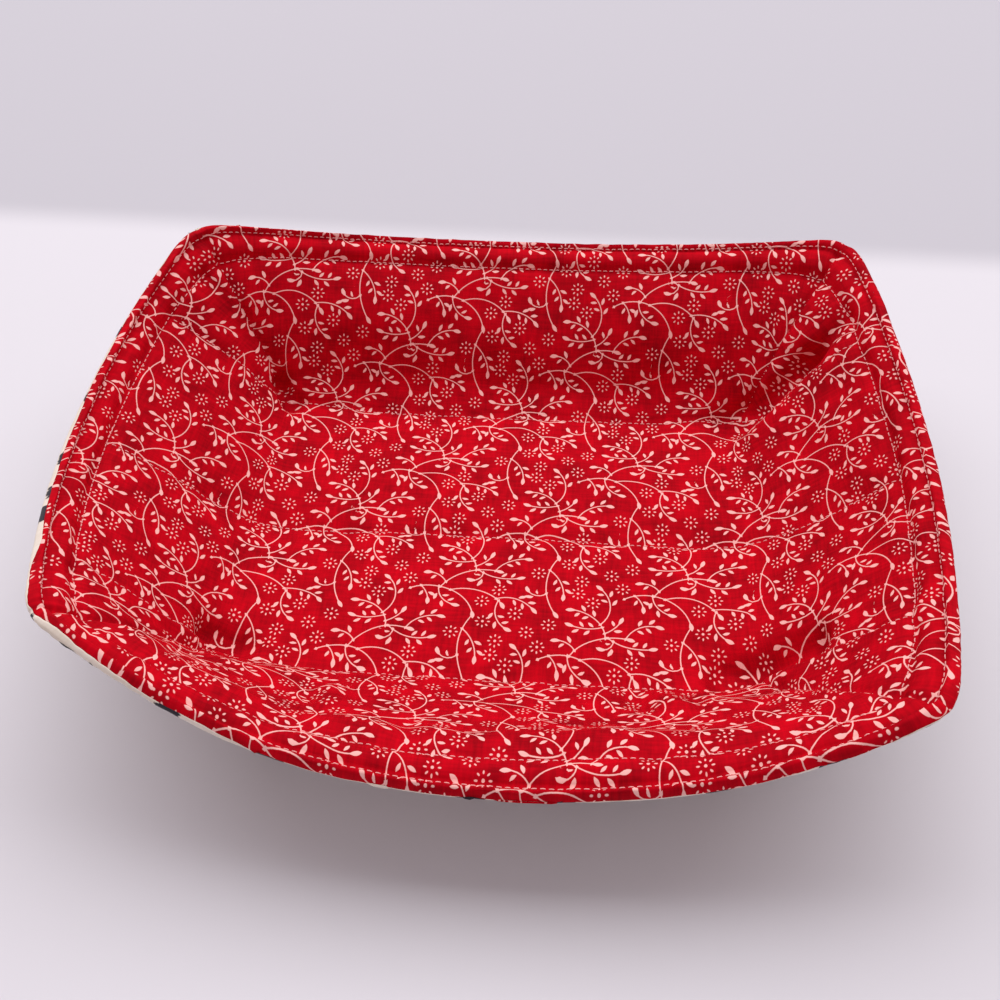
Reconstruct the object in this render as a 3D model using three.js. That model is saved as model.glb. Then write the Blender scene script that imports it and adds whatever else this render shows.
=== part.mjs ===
// A sewn, quilted cozy that holds a hot rectangular container from a microwave oven.
// Two darted panels, a lining and an outer cover, are each quilted to a layer of batting, joined
// round the rim, turned right side out and held together by two rows of topstitching.
// Millimetres, +Z up. The quilting rows run along X, and the origin is on the floor, under the
// middle of the whole outline.

import * as THREE from 'three';

// Panels as sewn, measured on the flat cloth
const BASE_LENGTH = 177.8; // along X, from dart tip to dart tip
const BASE_DEPTH = 127; // along Y, from the back quilting row to the front one
const WALL_WIDTH = 76.2; // from the edge of the base to the finished rim
const CORNER_TRIM = 2.5; // taken off the rim where it turns at a dart
const CORNER_TURN = 8; // power of the turn: a higher one keeps it nearer the dart

// Layers, from the lining down to the cover
const LINING_CLOTH = 0.6;
const COVER_CLOTH = 0.6;
const LAYER_GAP = 0.3; // clearance between one layer, or thread, and the next
const BATTING_LOFT = 2.2; // each of the two layers, away from any stitching
const CHANNEL_CROWN = 0.8; // extra loft along the middle of a quilted channel
const ROW_LOFT = 1; // batting pressed under a quilting row
const DART_LOFT = 1.8; // batting beside a dart seam
const BORDER_LOFT = 1.3; // batting between the two rows of topstitching
const TOPSTITCH_LOFT = 0.5; // batting pressed under a row of topstitching

// Stitching
const THREAD = 0.5; // diameter
const THREAD_SIDES = 5;
const EDGE_ROW = 3; // from the rim to the outer row of topstitching
const BORDER_ROW = 12.7; // from the rim to the inner row
const ROW_SHOULDER = 6; // from a row to where the batting is at its loft again
const ROW_END = 1.5; // a quilting row stops this far short of the inner topstitching

// How far the walls have opened, in degrees from the floor. A corner has the slope of its end
// wall and of its long wall. The middle of a wall bends from one slope to another.
const CORNER_SLOPES = {
  frontLeft: { endWall: 62, longWall: 66 },
  frontRight: { endWall: 54, longWall: 56 },
  backRight: { endWall: 58, longWall: 54 },
  backLeft: { endWall: 61, longWall: 64 },
};
const MIDDLE_SLOPES = {
  front: { atBase: 56, atRim: 3 },
  right: { atBase: 26, atRim: 58 },
  back: { atBase: 54, atRim: 22 },
  left: { atBase: 39, atRim: 44 },
};
const WALL_BOW = 2.3; // power of the curve from the middle of a wall out to its corners

// Facets
const LENGTH_STEPS = 8; // across a long wall and along the base
const WALL_FIELD_STEPS = 3; // up a wall, between the shoulders of its rows
const GUSSET_SPOTS = [0.5, 0.85]; // columns between a wall's straight field (0) and its dart (1)

const LINING_RED = 0xc40a18;
const COVER_CREAM = 0xe9e0cf;
const BATTING_WHITE = 0xf3efe6;
const THREAD_PINK = 0xd98a90;

const { degToRad, lerp, clamp } = THREE.MathUtils;
const halfLength = BASE_LENGTH / 2;
const halfDepth = BASE_DEPTH / 2;

// Depths below the lining's face where the batting is at full loft
const middleDepth = LINING_CLOTH + LAYER_GAP + BATTING_LOFT + LAYER_GAP / 2;
const baseHeight = middleDepth + LAYER_GAP / 2 + BATTING_LOFT + LAYER_GAP + COVER_CLOTH;

// The walls in order round the rim, anticlockwise from above
const WALLS = [
  { name: 'front', along: 'x', out: 'y', way: 1, side: -1, start: 'frontLeft', end: 'frontRight' },
  { name: 'right', along: 'y', out: 'x', way: 1, side: 1, start: 'frontRight', end: 'backRight' },
  { name: 'back', along: 'x', out: 'y', way: -1, side: 1, start: 'backRight', end: 'backLeft' },
  { name: 'left', along: 'y', out: 'x', way: -1, side: -1, start: 'backLeft', end: 'frontLeft' },
];
const CORNER_SIDES = {
  frontLeft: { x: -1, y: -1 },
  frontRight: { x: 1, y: -1 },
  backRight: { x: 1, y: 1 },
  backLeft: { x: -1, y: 1 },
};
const halfBase = { x: halfLength, y: halfDepth };

// A point of a dart seam, at a distance up the wall from the dart's tip
function seamPoint(corner, slant) {
  const side = CORNER_SIDES[corner];
  const endWall = degToRad(CORNER_SLOPES[corner].endWall);
  const longWall = degToRad(CORNER_SLOPES[corner].longWall);
  return new THREE.Vector3(
    side.x * (halfLength + slant * Math.cos(endWall)),
    side.y * (halfDepth + slant * Math.cos(longWall)),
    (slant * (Math.sin(endWall) + Math.sin(longWall))) / 2,
  );
}

// The bent section through the middle of a wall: an arc that keeps the cloth's length
function middleSection(wallName, slant) {
  const first = degToRad(MIDDLE_SLOPES[wallName].atBase);
  const last = degToRad(MIDDLE_SLOPES[wallName].atRim);
  const bend = (last - first) / WALL_WIDTH;
  const here = first + bend * slant;
  return {
    out: (Math.sin(here) - Math.sin(first)) / bend,
    up: (Math.cos(first) - Math.cos(here)) / bend,
  };
}

// A point of a wall. The spot runs from -2 at the wall's first dart, through -1 and 1 at the
// ends of its straight field, to 2 at its other dart.
function wallPoint(wall, spot, slant) {
  const gusset = Math.max(0, Math.abs(spot) - 1);
  const reach = slant * (1 - (CORNER_TRIM / WALL_WIDTH) * gusset ** CORNER_TURN);
  const start = seamPoint(wall.start, reach);
  const end = seamPoint(wall.end, reach);
  const field = wall.way * clamp(spot, -1, 1) * halfBase[wall.along];
  const dart = spot < 0 ? start : end;
  const place = lerp(field, dart[wall.along], gusset);
  const share = (place - start[wall.along]) / (end[wall.along] - start[wall.along]);
  const bow = 1 - Math.abs(2 * share - 1) ** WALL_BOW;
  const held = start.lerp(end, share);
  const middle = middleSection(wall.name, reach);
  const point = new THREE.Vector3();
  point[wall.along] = place;
  point[wall.out] = lerp(held[wall.out], wall.side * (halfBase[wall.out] + middle.out), bow);
  point.z = lerp(held.z, middle.up, bow);
  return point;
}

// Lines of the base grid. Along Y they follow the three quilting rows and their channels.
const baseLinesX = [];
for (let step = 0; step <= LENGTH_STEPS; step += 1) {
  baseLinesX.push(-halfLength + (BASE_LENGTH * step) / LENGTH_STEPS);
}
const channelLines = [
  { at: 0, kind: 'row' },
  { at: ROW_SHOULDER, kind: 'plain' },
  { at: halfDepth / 2, kind: 'crown' },
  { at: halfDepth - ROW_SHOULDER, kind: 'plain' },
];
const baseLinesY = [];
for (const channelStart of [-halfDepth, 0]) {
  for (const line of channelLines) {
    baseLinesY.push({ at: channelStart + line.at, kind: line.kind });
  }
}
baseLinesY.push({ at: halfDepth, kind: 'row' });

// Rings of the walls, from the shoulder of the base fold up to the rim
const borderSlant = WALL_WIDTH - BORDER_ROW;
const edgeSlant = WALL_WIDTH - EDGE_ROW;
const rings = [];
for (let step = 0; step <= WALL_FIELD_STEPS; step += 1) {
  const inField = step > 0 && step < WALL_FIELD_STEPS;
  rings.push({
    slant: lerp(ROW_SHOULDER, borderSlant - ROW_SHOULDER, step / WALL_FIELD_STEPS),
    kind: inField ? 'field' : 'shoulder',
  });
}
const borderRing = rings.push({ slant: borderSlant, kind: 'topstitch' }) - 1;
rings.push({ slant: (borderSlant + edgeSlant) / 2, kind: 'border' });
const edgeRing = rings.push({ slant: edgeSlant, kind: 'topstitch' }) - 1;
const rimRing = rings.push({ slant: WALL_WIDTH, kind: 'rim' }) - 1;

// Columns of the walls, in order round the rim. Each stands on a vertex of the base grid.
const baseIndex = (lineX, lineY) => lineY * baseLinesX.length + lineX;
const lastX = baseLinesX.length - 1;
const lastY = baseLinesY.length - 1;

function baseVertexUnder(wall, line) {
  const lines = wall.along === 'x' ? lastX : lastY;
  const place = wall.way > 0 ? line : lines - line;
  const outer = wall.side > 0 ? 1 : 0;
  return wall.along === 'x' ? baseIndex(place, outer * lastY) : baseIndex(outer * lastX, place);
}

function wallColumns(wall) {
  const lines = wall.along === 'x' ? lastX : lastY;
  const columns = [{ wall, spot: -2, kind: 'dart', base: baseVertexUnder(wall, 0) }];
  for (const spot of [...GUSSET_SPOTS].reverse()) {
    columns.push({ wall, spot: -1 - spot, kind: 'gusset', base: baseVertexUnder(wall, 0) });
  }
  for (let line = 0; line <= lines; line += 1) {
    const place = wall.along === 'x' ? baseLinesX[line] : baseLinesY[line].at;
    const kind = wall.along === 'x' ? 'crown' : baseLinesY[line].kind;
    const spot = place / halfBase[wall.along];
    columns.push({ wall, spot, kind, base: baseVertexUnder(wall, line) });
  }
  for (const spot of GUSSET_SPOTS) {
    columns.push({ wall, spot: 1 + spot, kind: 'gusset', base: baseVertexUnder(wall, lines) });
  }
  return columns;
}
const columns = WALLS.flatMap(wallColumns);

// Batting thickness at a vertex of the base and of a wall. The base rests flat on the floor,
// so the cover's batting has no crown there.
function baseLofts(kind) {
  const plain = kind === 'row' ? ROW_LOFT : BATTING_LOFT;
  const crown = kind === 'crown' ? CHANNEL_CROWN : 0;
  return { liningLoft: plain + crown, coverLoft: plain };
}

function wallLofts(ring, column) {
  let loft = BATTING_LOFT;
  if (ring.kind === 'rim') {
    loft = (THREAD - LAYER_GAP) / 2;
  } else if (column.kind === 'dart') {
    loft = DART_LOFT;
  } else if (ring.kind === 'topstitch') {
    loft = TOPSTITCH_LOFT;
  } else if (ring.kind === 'border') {
    loft = BORDER_LOFT;
  } else if (column.kind === 'row') {
    loft = ROW_LOFT;
  } else if (column.kind === 'crown' && ring.kind === 'field') {
    loft = BATTING_LOFT + CHANNEL_CROWN;
  }
  return { liningLoft: loft, coverLoft: loft };
}

// Vertices of the lining's face: the base grid, then ring after ring of the walls
const vertices = [];
for (const lineY of baseLinesY) {
  for (const x of baseLinesX) {
    const point = new THREE.Vector3(x, lineY.at, baseHeight);
    vertices.push({ point, dartSeam: false, ...baseLofts(lineY.kind) });
  }
}
const baseCount = vertices.length;
for (const ring of rings) {
  for (const column of columns) {
    const point = wallPoint(column.wall, column.spot, ring.slant);
    point.z += baseHeight;
    const dartSeam = column.kind === 'dart' && ring.kind !== 'rim';
    vertices.push({ point, dartSeam, ...wallLofts(ring, column) });
  }
}
const ringVertex = (ring, column) => {
  const wrapped = (column + columns.length) % columns.length;
  return ring < 0 ? columns[wrapped].base : baseCount + ring * columns.length + wrapped;
};

// Triangles of the face, with the rings that they belong to. Gussets start at a point.
const faceTriangles = [];
function addQuad(ring, a, b, c, d) {
  if (a !== b && b !== c && a !== c) {
    faceTriangles.push({ ring, corners: [a, b, c] });
  }
  if (a !== c && c !== d && a !== d) {
    faceTriangles.push({ ring, corners: [a, c, d] });
  }
}
for (let lineY = 0; lineY < lastY; lineY += 1) {
  for (let lineX = 0; lineX < lastX; lineX += 1) {
    addQuad(
      -1,
      baseIndex(lineX, lineY),
      baseIndex(lineX + 1, lineY),
      baseIndex(lineX + 1, lineY + 1),
      baseIndex(lineX, lineY + 1),
    );
  }
}
for (let ring = 0; ring <= rimRing; ring += 1) {
  for (let column = 0; column < columns.length; column += 1) {
    addQuad(
      ring,
      ringVertex(ring - 1, column),
      ringVertex(ring, column),
      ringVertex(ring, column + 1),
      ringVertex(ring - 1, column + 1),
    );
  }
}

// Mitre of each vertex: the step that goes one millimetre deep square to every face round it.
// It is the least squares answer of a 3 by 3 system, which a flat base settles by itself.
const FLAT_BASE_WEIGHT = 50;
const STEADY = 1e-3;
const normals = vertices.map(() => []);
for (const triangle of faceTriangles) {
  const [a, b, c] = triangle.corners.map((index) => vertices[index].point);
  const normal = new THREE.Vector3().crossVectors(b.clone().sub(a), c.clone().sub(a));
  const weight = triangle.ring < 0 ? FLAT_BASE_WEIGHT : 1;
  for (const index of triangle.corners) {
    normals[index].push({ normal: normal.clone().normalize(), weight });
  }
}
vertices.forEach((vertex, index) => {
  const mean = new THREE.Vector3();
  for (const { normal, weight } of normals[index]) {
    mean.addScaledVector(normal, weight);
  }
  mean.normalize();
  const sums = [STEADY, 0, 0, 0, STEADY, 0, 0, 0, STEADY];
  const aim = mean.clone().multiplyScalar(STEADY);
  for (const { normal, weight } of normals[index]) {
    const parts = normal.toArray();
    for (let row = 0; row < 3; row += 1) {
      for (let column = 0; column < 3; column += 1) {
        sums[row * 3 + column] += weight * parts[row] * parts[column];
      }
    }
    aim.addScaledVector(normal, weight);
  }
  vertex.mitre = aim.applyMatrix3(new THREE.Matrix3().set(...sums).invert());
});

// Depths of the layers' faces at a vertex. A batting gives way to the thread of a dart seam.
const threadRoom = THREAD + LAYER_GAP;
const depth = {
  liningBack: (v) => middleDepth - LAYER_GAP / 2 - v.liningLoft - LAYER_GAP,
  liningFace: (v) => depth.liningBack(v) - LINING_CLOTH,
  liningBattingTop: (v) => depth.liningBack(v) + LAYER_GAP + (v.dartSeam ? threadRoom : 0),
  liningBattingBottom: () => middleDepth - LAYER_GAP / 2,
  coverBattingTop: () => middleDepth + LAYER_GAP / 2,
  coverBack: (v) => middleDepth + LAYER_GAP / 2 + v.coverLoft + LAYER_GAP,
  coverBattingBottom: (v) => depth.coverBack(v) - LAYER_GAP - (v.dartSeam ? threadRoom : 0),
  coverFace: (v) => depth.coverBack(v) + COVER_CLOTH,
};
const pointAt = (vertex, deep) => vertex.point.clone().addScaledVector(vertex.mitre, -deep);

function geometryFrom(points, triangles) {
  const geometry = new THREE.BufferGeometry();
  const flat = points.flatMap((point) => point.toArray());
  geometry.setAttribute('position', new THREE.Float32BufferAttribute(flat, 3));
  geometry.setIndex(triangles.flat());
  geometry.computeVertexNormals();
  return geometry;
}

// One layer: its upper face, its lower face and the strip that closes it at its last ring
function layer(topDepth, bottomDepth, lastRing) {
  const count = baseCount + (lastRing + 1) * columns.length;
  const used = vertices.slice(0, count);
  const points = [
    ...used.map((vertex) => pointAt(vertex, topDepth(vertex))),
    ...used.map((vertex) => pointAt(vertex, bottomDepth(vertex))),
  ];
  const triangles = [];
  for (const { ring, corners } of faceTriangles) {
    if (ring <= lastRing) {
      const [a, b, c] = corners;
      triangles.push([a, b, c], [c + count, b + count, a + count]);
    }
  }
  for (let column = 0; column < columns.length; column += 1) {
    const here = ringVertex(lastRing, column);
    const next = ringVertex(lastRing, column + 1);
    triangles.push([here, here + count, next + count], [here, next + count, next]);
  }
  return geometryFrom(points, triangles);
}

// A thread: a closed tube along a path of points, each with the way that faces off the cloth
function thread(path, isLoop) {
  const points = [];
  const triangles = [];
  const count = path.length;
  const neighbour = (index) => (isLoop ? path[(index + count) % count] : path[clamp(index, 0, count - 1)]);
  path.forEach(({ point, off }, index) => {
    const along = neighbour(index + 1).point.clone().sub(neighbour(index - 1).point).normalize();
    const up = off.clone().addScaledVector(along, -off.dot(along)).normalize();
    const across = new THREE.Vector3().crossVectors(along, up);
    for (let side = 0; side < THREAD_SIDES; side += 1) {
      const angle = (2 * Math.PI * side) / THREAD_SIDES;
      const place = point.clone().addScaledVector(up, (Math.cos(angle) * THREAD) / 2);
      points.push(place.addScaledVector(across, (Math.sin(angle) * THREAD) / 2));
    }
  });
  const steps = isLoop ? count : count - 1;
  for (let step = 0; step < steps; step += 1) {
    const here = step * THREAD_SIDES;
    const next = ((step + 1) % count) * THREAD_SIDES;
    for (let side = 0; side < THREAD_SIDES; side += 1) {
      const turn = (side + 1) % THREAD_SIDES;
      triangles.push([here + side, here + turn, next + turn], [here + side, next + turn, next + side]);
    }
  }
  if (!isLoop) {
    const last = (count - 1) * THREAD_SIDES;
    for (let side = 1; side < THREAD_SIDES - 1; side += 1) {
      triangles.push([0, side + 1, side], [last, last + side, last + side + 1]);
    }
  }
  return geometryFrom(points, triangles);
}

// Paths of the threads. Each lies one clearance off the cloth that it holds.
const stand = LAYER_GAP + THREAD / 2;
const onLining = (vertex) => ({
  point: pointAt(vertex, depth.liningFace(vertex) - stand),
  off: vertex.mitre,
});
const onCover = (vertex) => ({
  point: pointAt(vertex, depth.coverFace(vertex) + stand),
  off: vertex.mitre,
});
const underLining = (vertex) => ({
  point: pointAt(vertex, depth.liningBack(vertex) + stand),
  off: vertex.mitre,
});
const insideCover = (vertex) => ({
  point: pointAt(vertex, depth.coverBack(vertex) - stand),
  off: vertex.mitre,
});
const between = (first, second, share) => ({
  point: first.point.clone().lerp(second.point, share),
  off: first.off.clone().lerp(second.off, share),
});

function ringPath(ring, lay) {
  return columns.map((column, index) => lay(vertices[ringVertex(ring, index)]));
}

// A quilting row: down one end wall, across the base and up the other end wall
function rowPath(lineY, lay) {
  const lastStep = rings[borderRing].slant - rings[borderRing - 1].slant;
  const climb = (wallName) => {
    const spot = baseLinesY[lineY].at / halfDepth;
    const isColumn = (c) => c.wall.name === wallName && c.spot * c.wall.way === spot;
    const column = columns.findIndex(isColumn);
    const path = [];
    for (let ring = 0; ring <= borderRing; ring += 1) {
      path.push(lay(vertices[ringVertex(ring, column)]));
    }
    path[borderRing] = between(path[borderRing], path[borderRing - 1], ROW_END / lastStep);
    return path;
  };
  const across = baseLinesX.map((x, lineX) => lay(vertices[baseIndex(lineX, lineY)]));
  return [...climb('left').reverse(), ...across, ...climb('right')];
}

function dartPath(corner, lay) {
  const column = columns.findIndex((c) => c.kind === 'dart' && c.wall.start === corner);
  const path = [];
  for (let ring = 0; ring <= edgeRing; ring += 1) {
    path.push(lay(vertices[ringVertex(ring, column)]));
  }
  return path;
}

function rimSeamPath() {
  const inMiddle = (vertex) => ({ point: pointAt(vertex, middleDepth), off: vertex.mitre });
  const inner = ringPath(edgeRing, inMiddle);
  const outer = ringPath(rimRing, inMiddle);
  return inner.map((place, index) => between(place, outer[index], 0.5));
}

const cozy = new THREE.Group();

function addPiece(name, geometry, color, roughness) {
  const material = new THREE.MeshStandardMaterial({ color, roughness, metalness: 0 });
  const mesh = new THREE.Mesh(geometry, material);
  mesh.name = name;
  cozy.add(mesh);
}

const CLOTH_ROUGHNESS = 0.85;
const BATTING_ROUGHNESS = 0.95;
const THREAD_ROUGHNESS = 0.6;

const lining = layer(depth.liningFace, depth.liningBack, rimRing);
const liningBatting = layer(depth.liningBattingTop, depth.liningBattingBottom, edgeRing);
const coverBatting = layer(depth.coverBattingTop, depth.coverBattingBottom, edgeRing);
const cover = layer(depth.coverBack, depth.coverFace, rimRing);
addPiece('lining_panel', lining, LINING_RED, CLOTH_ROUGHNESS);
addPiece('lining_batting', liningBatting, BATTING_WHITE, BATTING_ROUGHNESS);
addPiece('cover_batting', coverBatting, BATTING_WHITE, BATTING_ROUGHNESS);
addPiece('cover_panel', cover, COVER_CREAM, CLOTH_ROUGHNESS);

function addThread(name, path, isLoop) {
  addPiece(name, thread(path, isLoop), THREAD_PINK, THREAD_ROUGHNESS);
}

const ROWS = [
  { name: 'front', lineY: 0 },
  { name: 'centre', lineY: lastY / 2 },
  { name: 'back', lineY: lastY },
];
for (const { name, lineY } of ROWS) {
  addThread(`lining_quilting_${name}`, rowPath(lineY, onLining), false);
  addThread(`cover_quilting_${name}`, rowPath(lineY, onCover), false);
}

const DARTS = {
  front_left: 'frontLeft',
  front_right: 'frontRight',
  back_right: 'backRight',
  back_left: 'backLeft',
};
for (const [name, corner] of Object.entries(DARTS)) {
  addThread(`lining_dart_seam_${name}`, dartPath(corner, underLining), false);
  addThread(`cover_dart_seam_${name}`, dartPath(corner, insideCover), false);
}

addThread('rim_seam', rimSeamPath(), true);
for (const [name, ring] of [['edge', edgeRing], ['border', borderRing]]) {
  addThread(`${name}_topstitch_needle_thread`, ringPath(ring, onLining), true);
  addThread(`${name}_topstitch_bobbin_thread`, ringPath(ring, onCover), true);
}

const outline = new THREE.Box3().setFromObject(cozy);
const middle = outline.getCenter(new THREE.Vector3());
cozy.position.set(-middle.x, -middle.y, 0);

export default cozy;
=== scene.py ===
import bisect
import math
import random

import bmesh
import bpy
from mathutils import Matrix, Vector, kdtree, noise


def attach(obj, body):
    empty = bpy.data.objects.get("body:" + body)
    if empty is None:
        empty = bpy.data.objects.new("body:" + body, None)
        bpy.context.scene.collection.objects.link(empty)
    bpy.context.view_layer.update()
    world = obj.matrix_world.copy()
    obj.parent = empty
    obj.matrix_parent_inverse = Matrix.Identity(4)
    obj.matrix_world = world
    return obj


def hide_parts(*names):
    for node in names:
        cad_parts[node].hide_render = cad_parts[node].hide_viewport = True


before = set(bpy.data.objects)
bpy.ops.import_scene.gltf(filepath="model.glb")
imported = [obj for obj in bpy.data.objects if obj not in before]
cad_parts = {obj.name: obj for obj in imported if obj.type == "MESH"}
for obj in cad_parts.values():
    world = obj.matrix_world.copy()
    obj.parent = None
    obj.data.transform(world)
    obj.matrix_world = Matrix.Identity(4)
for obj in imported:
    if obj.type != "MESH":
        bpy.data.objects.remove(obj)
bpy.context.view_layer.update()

# Lining panel
# The printed red cotton that the hot container stands on: one rectangle of cloth whose four
# corners are darted so that its walls stand up, quilted in three rows and topstitched at the rim.

MM = 0.001
BASE_LENGTH = 177.8  # along X, from dart tip to dart tip
BASE_DEPTH = 127.0  # along Y, from the back quilting row to the front one
WALL_WIDTH = 76.2  # from the edge of the base to the finished rim
CORNER_TRIM = 3.2  # taken off the rim where it turns at a dart
CORNER_TURN = 8  # power of that turn
HALF_BASE = (BASE_LENGTH / 2, BASE_DEPTH / 2)
BASE_MIDDLE = Vector((0.25, 1.67, 6.5))  # middle of the base's face in the part's frame
HALF_SANDWICH = 3.25  # from the face of the lining or of the cover to the seam between the two

# Slopes from the floor in degrees: the end wall and the long wall at each corner, and the middle
# of each wall at shares of its height. The front wall stands up and then flops out over its fold.
CORNER_SLOPES = {
    (-1, -1): (62, 66),
    (1, -1): (56, 56),
    (1, 1): (58, 54),
    (-1, 1): (61, 64),
}
MIDDLE_SLOPES = {
    "front": ((0, 23.5), (0.45, 38), (0.66, 55), (0.78, 19), (1, -3)),
    "right": ((0, 16), (0.18, 36), (0.5, 44), (1, 54)),
    "back": ((0, 3), (0.08, 12), (0.24, 55), (0.5, 49), (0.8, 42), (1, 16)),
    "left": ((0, 35), (0.25, 40), (0.75, 41), (0.88, 46), (1, 54)),
}
# How a wall bows from dart to dart: the power of the curve, and how far it leans to one end
WALL_BOW = {"front": (2.3, 1.1), "right": (1.8, 0.95), "back": (2.3, 1), "left": (2.3, 1.2)}
WALL_FACING = {"front": (1, -1), "right": (0, 1), "back": (1, 1), "left": (0, -1)}  # axis, side
FACING_WALL = {facing: wall for wall, facing in WALL_FACING.items()}


def dart_point(corner, slant):
    """A point of a dart's seam, at a distance up the wall from the dart's tip."""
    end_wall, long_wall = (math.radians(slope) for slope in CORNER_SLOPES[corner])
    return Vector((
        corner[0] * (HALF_BASE[0] + slant * math.cos(end_wall)),
        corner[1] * (HALF_BASE[1] + slant * math.cos(long_wall)),
        slant * (math.sin(end_wall) + math.sin(long_wall)) / 2,
    ))


SECTION_STEPS = 96


def middle_section(slopes):
    """How far out and up the bent middle of a wall comes, step by step from its base to its rim."""
    places = [(0.0, 0.0)]
    length = WALL_WIDTH / SECTION_STEPS
    for step in range(SECTION_STEPS):
        share = (step + 0.5) / SECTION_STEPS
        after = next(index for index, (at, _) in enumerate(slopes) if at > share)
        (low_at, low), (high_at, high) = slopes[after - 1:after + 1]
        slope = math.radians(low + (high - low) * (share - low_at) / (high_at - low_at))
        out, rise = places[-1]
        places.append((out + length * math.cos(slope), rise + length * math.sin(slope)))
    return places


MIDDLE_SECTIONS = {wall: middle_section(slopes) for wall, slopes in MIDDLE_SLOPES.items()}


def plain_wall_point(wall, along, gusset, slant):
    """A point of a wall, from its place along the base, its share of the gusset and its slant."""
    out, side = WALL_FACING[wall]
    across = 1 - out
    reach = slant * (1 - CORNER_TRIM / WALL_WIDTH * gusset ** CORNER_TURN)
    ends = []
    for end in (-1, 1):
        corner = (side, end) if out == 0 else (end, side)
        ends.append(dart_point(corner, reach))
    dart = ends[0] if along < 0 else ends[1]
    place = along + (dart[across] - along) * gusset
    share = (place - ends[0][across]) / (ends[1][across] - ends[0][across])
    power, lean = WALL_BOW[wall]
    bow = 1 - abs(2 * max(0, share) ** lean - 1) ** power
    held = ends[0].lerp(ends[1], share)
    step = min(SECTION_STEPS - 1, int(reach / WALL_WIDTH * SECTION_STEPS))
    part = reach / WALL_WIDTH * SECTION_STEPS - step
    below, above = MIDDLE_SECTIONS[wall][step:step + 2]
    middle_out, middle_rise = (low + (high - low) * part for low, high in zip(below, above))
    point = Vector((0, 0, 0))
    point[across] = place
    point[out] = held[out] + (side * (HALF_BASE[out] + middle_out) - held[out]) * bow
    point.z = held.z + (middle_rise - held.z) * bow
    return point


CORNER_ROUND = 0.95  # how far the batting rounds a corner; it gets less towards the rim
CORNER_ROUND_POWER = 3


def wall_point(wall, along, gusset, slant):
    """A point of a wall whose corners are rounded by the batting, as a curve from wall to wall."""
    point = plain_wall_point(wall, along, gusset, slant)
    if gusset == 0:
        return point
    out, side = WALL_FACING[wall]
    end = 1 if along > 0 else -1
    next_wall = FACING_WALL[1 - out, end]
    start = plain_wall_point(wall, along, 0, slant)
    corner = plain_wall_point(wall, along, 1, slant)
    finish = plain_wall_point(next_wall, side * HALF_BASE[out], 0, slant)
    way = gusset / 2
    curve = start.lerp(corner, way).lerp(corner.lerp(finish, way), way)
    return point.lerp(curve, CORNER_ROUND * (1 - (slant / WALL_WIDTH) ** CORNER_ROUND_POWER))


def wall_at(u, v):
    """The wall that a point of the panel's grid is on, with its slant height and share of gusset."""
    past = (abs(u) - HALF_BASE[0], abs(v) - HALF_BASE[1])
    slant = max(past)
    if slant <= 0:
        return None, 0, 0
    out = past.index(slant)
    side = 1 if (u, v)[out] > 0 else -1
    return FACING_WALL[out, side], slant, max(0, min(past)) / slant


def sewn_place(u, v):
    """Where a point of the panel's grid comes to lie once the darts are sewn."""
    wall, slant, gusset = wall_at(u, v)
    if wall is None:
        return Vector((u, v, 0))
    across = 1 - WALL_FACING[wall][0]
    along = max(-HALF_BASE[across], min(HALF_BASE[across], (u, v)[across]))
    return wall_point(wall, along, gusset, slant)


def flat_place(u, v, wall, rolled):
    """The place on the flat cloth of a point of the grid: darts take cloth, and the rim rolls it."""
    if wall is None:
        return u, v
    out = WALL_FACING[wall][0]
    across = 1 - out
    flat = [u, v]
    on_roll = abs(flat[out]) - HALF_BASE[out] - EDGE_SLANT
    if on_roll > 0:
        flat[out] += math.copysign(on_roll * (rolled - 1), flat[out])
    past = abs(flat[across]) - HALF_BASE[across]
    if past > 0:
        corner = (1 if u > 0 else -1, 1 if v > 0 else -1)
        narrowing = math.cos(math.radians(CORNER_SLOPES[corner][across]))
        flat[across] = corner[across] * (HALF_BASE[across] + past * narrowing)
    return tuple(flat)


QUILTING_ROWS = {"front": -HALF_BASE[1], "centre": 0.0, "back": HALF_BASE[1]}
BORDER_SLANT = WALL_WIDTH - 12.7  # inner row of topstitching
EDGE_SLANT = WALL_WIDTH - 3.0  # outer row of topstitching
ROW_DEPTH, ROW_EASE = 1.8, 2.8  # how deep a quilting row is sunk, and how wide its groove is
BORDER_DEPTH, BORDER_EASE = 1.9, 1.9
EDGE_DEPTH, EDGE_EASE = 0.9, 1.1
DART_DEPTH, DART_EASE = 1.5, 1.4
DART_SPAN = 0.5  # cloth from a dart to the end of its gusset, as a share of the slant height
DART_FADE = 6.0  # mm below the rim over which the groove of a dart dies out
CHANNEL_CROWN = 1.3  # how high the padded cloth stands between two rows
RIPPLE, RIPPLE_PITCH, RIPPLE_FADE = 0.75, 5.0, 5.5  # puckers that the stitching draws up
RIPPLE_LENGTH = 4  # a pucker is this many times as long as it is wide
EDGE_RIPPLE = 0.6  # puckers at the outer row of topstitching, as a share of the others
BORDER_SEED, EDGE_SEED = 0.5, 0.7
SOFT_FOLD, SOFT_FOLD_PITCH = 1.5, 34.0  # slow waves of the padded cloth
SOFT_FOLD_EASE = 9.0  # mm from the stitching over which they rise
FINE_FOLD, FINE_FOLD_SCALE = 0.8, 2.3  # smaller waves on the slow ones
STRIP_CROWN = 1.5  # the strip between the two rows of topstitching stands up like a cord
RIM_SETBACK, RIM_ROLL = 1.2, 2.2  # the roll of the rim lies below the face, and its power
ROW_FADE, ROW_ON_WALL = 14.0, 0.35  # how fast a row gets shallower up an end wall, and to what share
DEEPEST = 2.2  # how far the stitching can pull a face into the batting


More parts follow.
